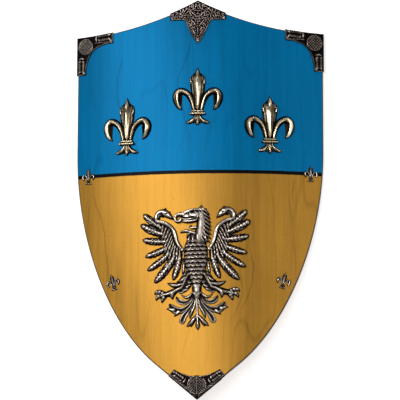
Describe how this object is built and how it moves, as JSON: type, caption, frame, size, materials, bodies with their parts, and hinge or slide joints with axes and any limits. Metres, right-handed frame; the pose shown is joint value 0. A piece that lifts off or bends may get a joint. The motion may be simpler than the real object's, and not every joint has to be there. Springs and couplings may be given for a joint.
{
  "type": "heater shield",
  "caption": "Bowed wooden heater shield, blue over gold with a black stripe, with cast fleurs-de-lis, a displayed eagle and cast mounts on its corners, peak and tip.",
  "frame": {"origin": "middle of the width and of the length, on the plane that the back edges lie on", "axes": "+Z out of the face, +Y towards the peak, +X to the right of someone who looks at the face"},
  "size_m": [0.3848, 0.6174, 0.0573],
  "materials": {
    "wood": "stained and varnished, blue above and gold below a black stripe, with a dark rim",
    "pewter": "antique pewter, dark in the recesses and worn bright on the crests",
    "bronze": "antique bronze, nearly black in the recesses",
    "brass": "antique brass, polished on the crests and dark in the recesses"
  },
  "bodies": {
    "root": {"board": "wood", "mount_top_left": "bronze", "mount_top_right": "bronze", "mount_peak": "bronze", "mount_tip": "bronze", "nail_top_left_1": "pewter", "nail_top_left_2": "pewter", "nail_top_right_1": "pewter", "nail_top_right_2": "pewter", "nail_peak_1": "pewter", "nail_peak_2": "pewter", "nail_peak_3": "pewter", "nail_tip_1": "pewter", "nail_tip_2": "pewter", "fleur_left": "brass", "fleur_middle": "brass", "fleur_right": "brass", "small_fleur_stripe_left": "pewter", "small_fleur_low_left": "pewter", "small_fleur_stripe_right": "pewter", "small_fleur_low_right": "pewter", "eagle": "pewter"}
  },
  "joints": []
}
